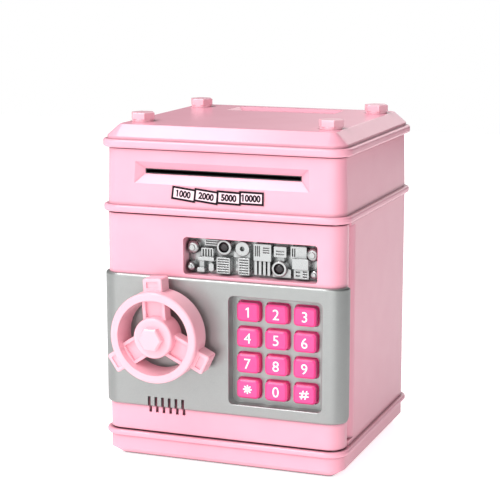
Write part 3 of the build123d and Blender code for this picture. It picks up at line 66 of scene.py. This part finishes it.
# ---------------------------------------------------------------- light
BRIGHT_SIDE = (-0.75, -0.60, 0.35)
SURROUND = (0.0, 0.62)  # the surround's radiance opposite the bright side and on it
HORIZON_SIDE = (0.02, 0.92, 0.31)  # a pale patch of backdrop behind the object, seen in its gloss
HORIZON_EDGE = 0.90  # cosine of the patch's radius
HORIZON_GLOW = 1.5
UPRIGHT = (0, 0, 1)
LENGTHWISE = (0, 1, 0)
LIGHTS = [  # name, direction from the object, distance and size in metres, power in watts, up
    ("key", (-0.22, -1.0, 0.34), 1.9, (2.4, 1.7), 19.4, UPRIGHT),
    ("fill", (0.55, -1.0, 0.16), 1.5, (0.8, 0.8), 3.2, UPRIGHT),
    ("overhead", (-0.36, -0.42, 0.84), 1.4, (0.26, 1.25), 12.0, LENGTHWISE),
]
FLOOR_GLOW = 0.68  # what the camera sees the floor give off
FLOOR_BOUNCE = 0.34  # what reaches the object
FLOOR_REACH = 1.4
FLOOR_DROP = 0.0002

# ---------------------------------------------------------------- printed details, in millimetres
PRINT_THICK = 0.05
BAR_STEP = 0.003  # crossing bars lie this much above each other
ROUND_STEPS = 8
KEY_DIGIT_H = 5.2
KEY_DIGIT_BOLD = 0.003
KEY_STROKE = 0.72
STAR_SPAN = 4.7
HASH_SLANT = 0.22
LABEL_W = 12.7
LABEL_H = 6.6
LABEL_PLATE = 0.3
LABEL_STEP = 0.02  # each label's print lies this much above the one before
LABEL_BORDER = 1.0
LABEL_DIGIT_H = 3.5
LABEL_DIGIT_BOLD = 0.045
LABEL_DIGIT_SQUEEZE = 0.9
FLAG_LENGTH = 1.1
FLAG_STROKE = 0.42
FLAG_ANGLE = 38
LABELS = [  # number, x and z of the middle, tilt in degrees
    ("1000", -18.9, 137.2, -6.5),
    ("2000", -7.1, 136.7, -6.0),
    ("5000", 4.7, 136.6, -1.8),
    ("10000", 16.4, 137.0, -0.5),
]
CASING_DRAFT = 0.8  # how far the upper casing's front leans back


# ---------------------------------------------------------------- materials
class Finish:
    """A procedural material: a Principled shader with helpers that hang noise on its sockets."""

    def __init__(self, name):
        self.material = bpy.data.materials.new(name)
        self.material.use_nodes = True
        self.tree = self.material.node_tree
        self.tree.nodes.clear()
        output = self.tree.nodes.new("ShaderNodeOutputMaterial")
        self.shader = self.tree.nodes.new("ShaderNodeBsdfPrincipled")
        self.tree.links.new(self.shader.outputs["BSDF"], output.inputs["Surface"])
        self.coords = self.tree.nodes.new("ShaderNodeTexCoord").outputs["Object"]

    def set(self, **values):
        """Sets uniform values on the shader's own sockets."""
        for socket, value in values.items():
            self.shader.inputs[socket.replace("_", " ")].default_value = value
        return self

    def noise(self, scale, detail=3.0, stretch=(1, 1, 1)):
        """The factor of a noise texture whose scale is in features per metre."""
        mapping = self.tree.nodes.new("ShaderNodeMapping")
        mapping.inputs["Scale"].default_value = stretch
        texture = self.tree.nodes.new("ShaderNodeTexNoise")
        texture.inputs["Scale"].default_value = scale
        texture.inputs["Detail"].default_value = detail
        self.tree.links.new(self.coords, mapping.inputs["Vector"])
        self.tree.links.new(mapping.outputs["Vector"], texture.inputs["Vector"])
        return texture.outputs["Fac"]

    def colour(self, low, high, factor):
        """The base colour wanders between two colours."""
        ramp = self.tree.nodes.new("ShaderNodeValToRGB")
        ramp.color_ramp.elements[0].position = 0.3
        ramp.color_ramp.elements[1].position = 0.7
        ramp.color_ramp.elements[0].color = (*low, 1)
        ramp.color_ramp.elements[1].color = (*high, 1)
        self.tree.links.new(factor, ramp.inputs["Fac"])
        self.tree.links.new(ramp.outputs["Color"], self.shader.inputs["Base Color"])
        return self

    def paint_crevice_shade(self, reach_mm):
        """Painted shade: the base colour fades towards black in corners that other surfaces shade within
        reach.
        """
        corners = self.tree.nodes.new("ShaderNodeAmbientOcclusion")
        corners.samples = 8
        corners.inputs["Distance"].default_value = reach_mm * MM
        base = self.shader.inputs["Base Color"]
        self.tree.links.new(base.links[0].from_socket, corners.inputs["Color"])
        self.tree.links.new(corners.outputs["Color"], base)

    def roughness(self, low, high, factor):
        """The roughness wanders between two values."""
        spread = self.tree.nodes.new("ShaderNodeMapRange")
        spread.inputs["From Min"].default_value = 0.3
        spread.inputs["From Max"].default_value = 0.7
        spread.inputs["To Min"].default_value = low
        spread.inputs["To Max"].default_value = high
        self.tree.links.new(factor, spread.inputs["Value"])
        self.tree.links.new(spread.outputs["Result"], self.shader.inputs["Roughness"])
        return self

    def grain(self, depth_mm, factor, soften_mm=0.0):
        """Fine surface relief of a given depth, over edges softened by a small radius."""
        bump = self.tree.nodes.new("ShaderNodeBump")
        bump.inputs["Strength"].default_value = 1.0
        bump.inputs["Distance"].default_value = depth_mm * MM
        self.tree.links.new(factor, bump.inputs["Height"])
        if soften_mm:
            soften = self.tree.nodes.new("ShaderNodeBevel")
            soften.inputs["Radius"].default_value = soften_mm * MM
            self.tree.links.new(soften.outputs["Normal"], bump.inputs["Normal"])
        self.tree.links.new(bump.outputs["Normal"], self.shader.inputs["Normal"])
        return self


def moulded(name, low, high, rough, soften_mm=0.35, crevice_shade_mm=0.0, **values):
    """Injection-moulded plastic: slight cloudiness and a faint orange-peel skin, and painted shade in its
    crevices when a reach is given.
    """
    finish = Finish(name)
    finish.colour(low, high, finish.noise(45, 2))
    # painted shade: the base colour darkens in seams and corners within the crevice reach
    if crevice_shade_mm:
        finish.paint_crevice_shade(crevice_shade_mm)
    finish.grain(0.002, finish.noise(900, 2), soften_mm)
    return finish.set(Roughness=rough, **values).material


def painted_silver(name, low, high, rough, metal, flake_mm, crevice_shade_mm=0.0):
    """Silver paint or plating: fine flakes in the colour and a soft grain, with painted shade darkening
    deep corners when a reach is given.
    """
    finish = Finish(name)
    finish.colour(low, high, finish.noise(5200, 2))
    # painted shade: the base colour darkens in deep corners within the crevice reach
    if crevice_shade_mm:
        finish.paint_crevice_shade(crevice_shade_mm)
    finish.roughness(rough - 0.05, rough + 0.06, finish.noise(240, 4))
    finish.grain(flake_mm, finish.noise(3800, 2), 0.25)
    return finish.set(Metallic=metal).material


def brushed(name, low, high, rough):
    """Turned or drawn metal with fine lines across it."""
    finish = Finish(name)
    finish.colour(low, high, finish.noise(300, 3, (1, 1, 14)))
    finish.roughness(rough - 0.08, rough + 0.1, finish.noise(500, 3, (1, 1, 10)))
    finish.grain(0.004, finish.noise(900, 2, (1, 1, 12)), 0.15)
    return finish.set(Metallic=1.0).material


def rubber(name, low, high):
    """Dull rubber with a mottled skin."""
    finish = Finish(name)
    finish.colour(low, high, finish.noise(400, 4))
    finish.roughness(0.68, 0.85, finish.noise(700, 3))
    finish.grain(0.02, finish.noise(1500, 3), 0.3)
    return finish.material


def circuit(name):
    """Lacquered board: a grid of copper tracks under green solder mask."""
    finish = Finish(name)
    brick = finish.tree.nodes.new("ShaderNodeTexBrick")
    brick.inputs["Scale"].default_value = 160
    brick.inputs["Mortar Size"].default_value = 0.03
    brick.inputs["Color1"].default_value = (0.008, 0.16, 0.06, 1)
    brick.inputs["Color2"].default_value = (0.010, 0.20, 0.08, 1)
    brick.inputs["Mortar"].default_value = (0.06, 0.42, 0.16, 1)
    swap = finish.tree.nodes.new("ShaderNodeMapping")
    swap.inputs["Rotation"].default_value = (math.pi / 2, 0, 0)
    finish.tree.links.new(finish.coords, swap.inputs["Vector"])
    finish.tree.links.new(swap.outputs["Vector"], brick.inputs["Vector"])
    finish.tree.links.new(brick.outputs["Color"], finish.shader.inputs["Base Color"])
    finish.roughness(0.25, 0.4, finish.noise(300, 3))
    finish.grain(0.02, brick.outputs["Fac"])
    return finish.material


DULL = {"Specular_IOR_Level": 0.1}
SHELL_PINK = ((0.91, 0.395, 0.50), (0.93, 0.42, 0.525))
PAINT_SILVER = ((0.32, 0.33, 0.325), (0.36, 0.37, 0.365))
PLATE_SILVER = ((0.37, 0.38, 0.38), (0.47, 0.48, 0.48))
FINISHES = {
    # painted shade in the shell's seams and grooves, within 1.8 mm
    "pink_shell": moulded("soft_pink_plastic", *SHELL_PINK, 0.24, crevice_shade_mm=1.8),
    # the wheel's own paler pink; the record also gives this finish to the cap bolts, where the paler colour
    # is a painted highlight on the shell's plastic
    "pink_wheel": moulded("pale_pink_plastic_and_bolt_highlight", (0.92, 0.49, 0.575), (0.94, 0.52, 0.60), 0.26),
    "pink_keys": moulded("key_hot_pink", (0.90, 0.06, 0.27), (0.93, 0.08, 0.30), 0.28),
    "silver_panel": painted_silver("satin_silver_paint", *PAINT_SILVER, 0.36, 0.85, 0.003),
    # painted shade between the relief's raised shapes, within 2.6 mm
    "silver_relief": painted_silver("bright_silver_plating", *PLATE_SILVER, 0.24, 0.9, 0.002, 2.6),
    "lamp_dark": moulded("smoked_lamp", (0.012, 0.010, 0.012), (0.022, 0.018, 0.020), 0.12, 0.1),
    "label_print": moulded("label_stock", (0.93, 0.66, 0.74), (0.95, 0.69, 0.77), 0.34, 0.05),
    "inner_white": moulded("natural_nylon", (0.60, 0.59, 0.56), (0.66, 0.65, 0.62), 0.45, 0.2),
    "steel": brushed("zinc_plated_steel", (0.50, 0.51, 0.53), (0.66, 0.67, 0.69), 0.34),
    "battery_jacket": moulded("battery_jacket", (0.03, 0.035, 0.045), (0.05, 0.055, 0.07), 0.3, 0.2),
    "rubber_grey": rubber("silicone_mat", (0.26, 0.27, 0.29), (0.33, 0.34, 0.36)),
    "rubber_black": rubber("roller_rubber", (0.018, 0.018, 0.018), (0.035, 0.035, 0.035)),
    "board_green": circuit("lacquered_board"),
    "black_plastic": moulded("black_plastic", (0.012, 0.012, 0.013), (0.022, 0.022, 0.024), 0.4, 0.2),
    "brass_pinion": brushed("turned_brass", (0.62, 0.44, 0.16), (0.76, 0.57, 0.25), 0.28),
}
WHITE_PRINT = moulded("white_key_print", (0.93, 0.91, 0.92), (0.97, 0.95, 0.96), 0.4, 0.0)
BLACK_PRINT = moulded("black_label_print", (0.010, 0.006, 0.009), (0.018, 0.012, 0.016), 0.6, 0.0, **DULL)


def paint_frame():
    """Every CAD node gets the finish of its slot in the record."""
    for row in frame["record"]["subparts"]:
        nodes[row["node"]].material_slots[0].material = FINISHES[row["material_slot"]]


# ---------------------------------------------------------------- printed pieces
FACING = Matrix.Rotation(math.pi / 2, 4, "X")  # local X and Y become the world's X and Z, facing the front


def add_piece(name, mesh, material, body):
    """Links a finished mesh as a piece of the object."""
    mesh.materials.clear()
    mesh.materials.append(material)
    piece = bpy.data.objects.new(name, mesh)
    bpy.context.scene.collection.objects.link(piece)
    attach(piece, body)
    return piece


def text_mesh(text, height, bold, stretch=1.0):
    """Solid characters centred on the origin in the XY plane, height millimetres tall."""
    curve = bpy.data.curves.new("characters", "FONT")
    curve.body = text
    curve.resolution_u = 8
    curve.offset = bold
    curve.extrude = 0.5
    text_object = bpy.data.objects.new("characters", curve)
    bpy.context.scene.collection.objects.link(text_object)
    mesh = bpy.data.meshes.new_from_object(text_object.evaluated_get(bpy.context.evaluated_depsgraph_get()))
    bpy.data.objects.remove(text_object)
    bpy.data.curves.remove(curve)
    xs = [v.co.x for v in mesh.vertices]
    ys = [v.co.y for v in mesh.vertices]
    size = height * MM / (max(ys) - min(ys))
    middle = Vector(((min(xs) + max(xs)) / 2, (min(ys) + max(ys)) / 2, 0))
    scale = Matrix.Diagonal((size * stretch, size, PRINT_THICK * MM, 1))
    mesh.transform(scale @ Matrix.Translation(-middle))
    return mesh


def bars_mesh(bars):
    """Flat bars as one mesh, each (x, y, length, width, angle in degrees, slant) in millimetres."""
    builder = bmesh.new()
    for step, (x, y, length, width, angle, slant) in enumerate(bars):
        turn = Matrix.Rotation(math.radians(angle), 4, "Z")
        place = Matrix.Translation((x * MM, y * MM, BAR_STEP * step * MM)) @ turn
        shear = Matrix.Identity(4)
        shear[0][1] = slant
        round_end(builder, shear @ place, length, width)
    mesh = bpy.data.meshes.new("bars")
    builder.to_mesh(mesh)
    builder.free()
    return mesh


def round_end(builder, place, length, width):
    """Adds one bar with rounded ends to builder."""
    outline = []
    for side in (1, -1):
        for step in range(ROUND_STEPS + 1):
            angle = side * math.pi / 2 - math.pi * step / ROUND_STEPS
            x = side * (length - width) / 2 + width / 2 * math.cos(angle)
            y = width / 2 * math.sin(angle)
            outline.append((x * MM, y * MM))
    layers = []
    for z in (-PRINT_THICK / 2 * MM, PRINT_THICK / 2 * MM):
        layers.append([builder.verts.new(place @ Vector((x, y, z))) for x, y in outline])
    builder.faces.new(layers[1])
    builder.faces.new(reversed(layers[0]))
    for i in range(len(outline)):
        j = (i + 1) % len(outline)
        builder.faces.new((layers[0][i], layers[0][j], layers[1][j], layers[1][i]))


def key_legends():
    """White printed numbers, a star and a hash on the key caps."""
    one = [(0.4, 0, KEY_DIGIT_H, KEY_STROKE, 90, 0), (-0.2, 1.85, 1.9, KEY_STROKE, FLAG_ANGLE, 0)]
    star = [(0, 0, STAR_SPAN, KEY_STROKE, angle, 0) for angle in (0, 45, 90, 135)]
    across = [(0, offset, 4.9, KEY_STROKE, 4, 0) for offset in (-0.85, 0.85)]
    upright = [(offset, 0, 4.6, KEY_STROKE, 90, HASH_SLANT) for offset in (-0.95, 0.95)]
    drawn = {"1": one, "star": star, "hash": across + upright}
    for name in ["1", "2", "3", "4", "5", "6", "7", "8", "9", "star", "0", "hash"]:
        low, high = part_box(f"key_{name}")
        if name in drawn:
            mesh = bars_mesh(drawn[name])
        else:
            mesh = text_mesh(name, KEY_DIGIT_H, KEY_DIGIT_BOLD)
        centre = Vector(((low.x + high.x) / 2, low.y, (low.z + high.z) / 2))
        mesh.transform(Matrix.Translation(centre) @ FACING)
        add_piece(f"legend_{name}", mesh, WHITE_PRINT, f"button_{name}")


def frame_mesh(width, height, border):
    """A flat rectangular outline in millimetres."""
    builder = bmesh.new()
    corners = ((-1, -1), (1, -1), (1, 1), (-1, 1))
    rings = []
    for inset in (0, border):
        for z in (-PRINT_THICK / 2, PRINT_THICK / 2):
            ring = []
            for sx, sy in corners:
                corner = Vector((sx * (width / 2 - inset), sy * (height / 2 - inset), z))
                ring.append(builder.verts.new(corner * MM))
            rings.append(ring)
    outer_low, outer_high, inner_low, inner_high = rings
    for i in range(4):
        j = (i + 1) % 4
        builder.faces.new((outer_low[i], outer_low[j], outer_high[j], outer_high[i]))
        builder.faces.new((inner_high[i], inner_high[j], inner_low[j], inner_low[i]))
        builder.faces.new((outer_high[i], outer_high[j], inner_high[j], inner_high[i]))
        builder.faces.new((outer_low[j], outer_low[i], inner_low[i], inner_low[j]))
    mesh = bpy.data.meshes.new("frame")
    builder.to_mesh(mesh)
    builder.free()
    return mesh


def label_prints():
    """Black outlines and numbers on the four denomination labels."""
    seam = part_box("upper_casing")[0].z
    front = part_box("door_shell")[0].y
    lean = math.atan(CASING_DRAFT * MM / (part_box("upper_casing")[1].z - seam))
    plate = Matrix.Translation((0, front, seam)) @ Matrix.Rotation(-lean, 4, "X") @ FACING
    for step, (text, x, z, tilt) in enumerate(LABELS):
        lift = LABEL_PLATE + LABEL_STEP * step
        tilted = Matrix.Rotation(math.radians(tilt), 4, "Z")
        place = plate @ Matrix.Translation((x * MM, z * MM - seam, lift * MM)) @ tilted
        outline = frame_mesh(LABEL_W, LABEL_H, LABEL_BORDER)
        outline.transform(place)
        add_piece(f"label_outline_{text}", outline, BLACK_PRINT, "casing")
        number = text_mesh(text, LABEL_DIGIT_H, LABEL_DIGIT_BOLD, LABEL_DIGIT_SQUEEZE)
        if text.startswith("1"):
            left = min(v.co.x for v in number.vertices) / MM
            top = LABEL_DIGIT_H / 2
            flag = bars_mesh([(left - 0.1, top - 0.55, FLAG_LENGTH, FLAG_STROKE, FLAG_ANGLE, 0)])
            flag.transform(place)
            add_piece(f"label_flag_{text}", flag, BLACK_PRINT, "casing")
        number.transform(place)
        add_piece(f"label_number_{text}", number, BLACK_PRINT, "casing")


# ---------------------------------------------------------------- stage
def make_floor():
    """A pale floor with a faint sheen that glows a little, so that it stays white around the object."""
    builder = bmesh.new()
    bmesh.ops.create_grid(builder, x_segments=4, y_segments=4, size=FLOOR_REACH)
    mesh = bpy.data.meshes.new("floor")
    builder.to_mesh(mesh)
    builder.free()
    floor = bpy.data.objects.new("floor", mesh)
    floor.location.z = -FLOOR_DROP
    bpy.context.scene.collection.objects.link(floor)
    finish = Finish("pale_floor")
    finish.colour((0.93, 0.93, 0.93), (0.95, 0.95, 0.95), finish.noise(3, 2))
    finish.roughness(0.22, 0.30, finish.noise(12, 2))
    finish.set(Emission_Color=(1, 1, 1, 1))
    path = finish.tree.nodes.new("ShaderNodeLightPath")
    glow = finish.tree.nodes.new("ShaderNodeMapRange")
    glow.inputs["To Min"].default_value = FLOOR_BOUNCE
    glow.inputs["To Max"].default_value = FLOOR_GLOW
    finish.tree.links.new(path.outputs["Is Camera Ray"], glow.inputs["Value"])
    finish.tree.links.new(glow.outputs["Result"], finish.shader.inputs["Emission Strength"])
    mesh.materials.append(finish.material)


def area_light(name, direction, distance, size, power, up):
    """A soft rectangular light that looks at the object from a direction and is hidden from the camera."""
    light = bpy.data.lights.new(name, "AREA")
    light.shape = "RECTANGLE"
    light.size, light.size_y = size
    light.energy = power
    lamp = bpy.data.objects.new(name, light)
    back = Vector(direction).normalized()
    side = Vector(up).cross(back).normalized()
    lamp.rotation_euler = Matrix((side, back.cross(side), back)).transposed().to_euler()
    lamp.location = (cad_box[0] + cad_box[1]) / 2 + back * distance
    lamp.visible_camera = False
    bpy.context.scene.collection.objects.link(lamp)


def towards(tree, direction, edge, values):
    """A value for the world that rises from values[0] to values[1] between an edge and a direction.

    The edge is the cosine of its angle from the direction: -1 spreads the rise over the whole sphere.
    """
    coords = tree.nodes.new("ShaderNodeTexCoord")
    facing = tree.nodes.new("ShaderNodeVectorMath")
    facing.operation = "DOT_PRODUCT"
    facing.inputs[1].default_value = Vector(direction).normalized()
    level = tree.nodes.new("ShaderNodeMapRange")
    level.interpolation_type = "SMOOTHSTEP" if edge > 0 else "LINEAR"
    level.inputs["From Min"].default_value = edge
    level.inputs["To Min"].default_value = values[0]
    level.inputs["To Max"].default_value = values[1]
    tree.links.new(coords.outputs["Generated"], facing.inputs[0])
    tree.links.new(facing.outputs["Value"], level.inputs["Value"])
    return level.outputs["Result"]


def make_world():
    """White behind the object; around it a soft studio that is brighter at the front left and above."""
    world = bpy.data.worlds.new("studio")
    world.use_nodes = True
    tree = world.node_tree
    tree.nodes.clear()
    total = tree.nodes.new("ShaderNodeMath")
    total.operation = "ADD"
    surround = tree.nodes.new("ShaderNodeBackground")
    backdrop = tree.nodes.new("ShaderNodeBackground")
    for background in (surround, backdrop):
        background.inputs["Color"].default_value = (1, 1, 1, 1)
    path = tree.nodes.new("ShaderNodeLightPath")
    mix = tree.nodes.new("ShaderNodeMixShader")
    output = tree.nodes.new("ShaderNodeOutputWorld")
    tree.links.new(towards(tree, BRIGHT_SIDE, -1.0, SURROUND), total.inputs[0])
    tree.links.new(towards(tree, HORIZON_SIDE, HORIZON_EDGE, (0.0, HORIZON_GLOW)), total.inputs[1])
    tree.links.new(total.outputs["Value"], surround.inputs["Strength"])
    tree.links.new(path.outputs["Is Camera Ray"], mix.inputs["Fac"])
    tree.links.new(surround.outputs["Background"], mix.inputs[1])
    tree.links.new(backdrop.outputs["Background"], mix.inputs[2])
    tree.links.new(mix.outputs["Shader"], output.inputs["Surface"])
    bpy.context.scene.world = world


def make_lights():
    """Broad key from the front left, a fill from the right and a strip overhead, front to back."""
    for row in LIGHTS:
        area_light(*row)


def make_camera():
    """Looks at the front from its right, a little from above, with plain colours."""
    data = bpy.data.cameras.new("camera")
    data.lens = CAMERA_LENS
    camera = bpy.data.objects.new("camera", data)
    camera.rotation_euler = Euler((math.pi / 2 - CAMERA_PITCH, 0, CAMERA_YAW))
    aim = (cad_box[0] + cad_box[1]) / 2 + AIM_OFFSET
    back = camera.rotation_euler.to_matrix() @ Vector((0, 0, 1))
    camera.location = aim + back * CAMERA_DISTANCE
    bpy.context.scene.collection.objects.link(camera)
    bpy.context.scene.camera = camera
    bpy.context.scene.view_settings.view_transform = "Standard"


make_camera()
paint_frame()
key_legends()
label_prints()
make_floor()
make_world()
make_lights()
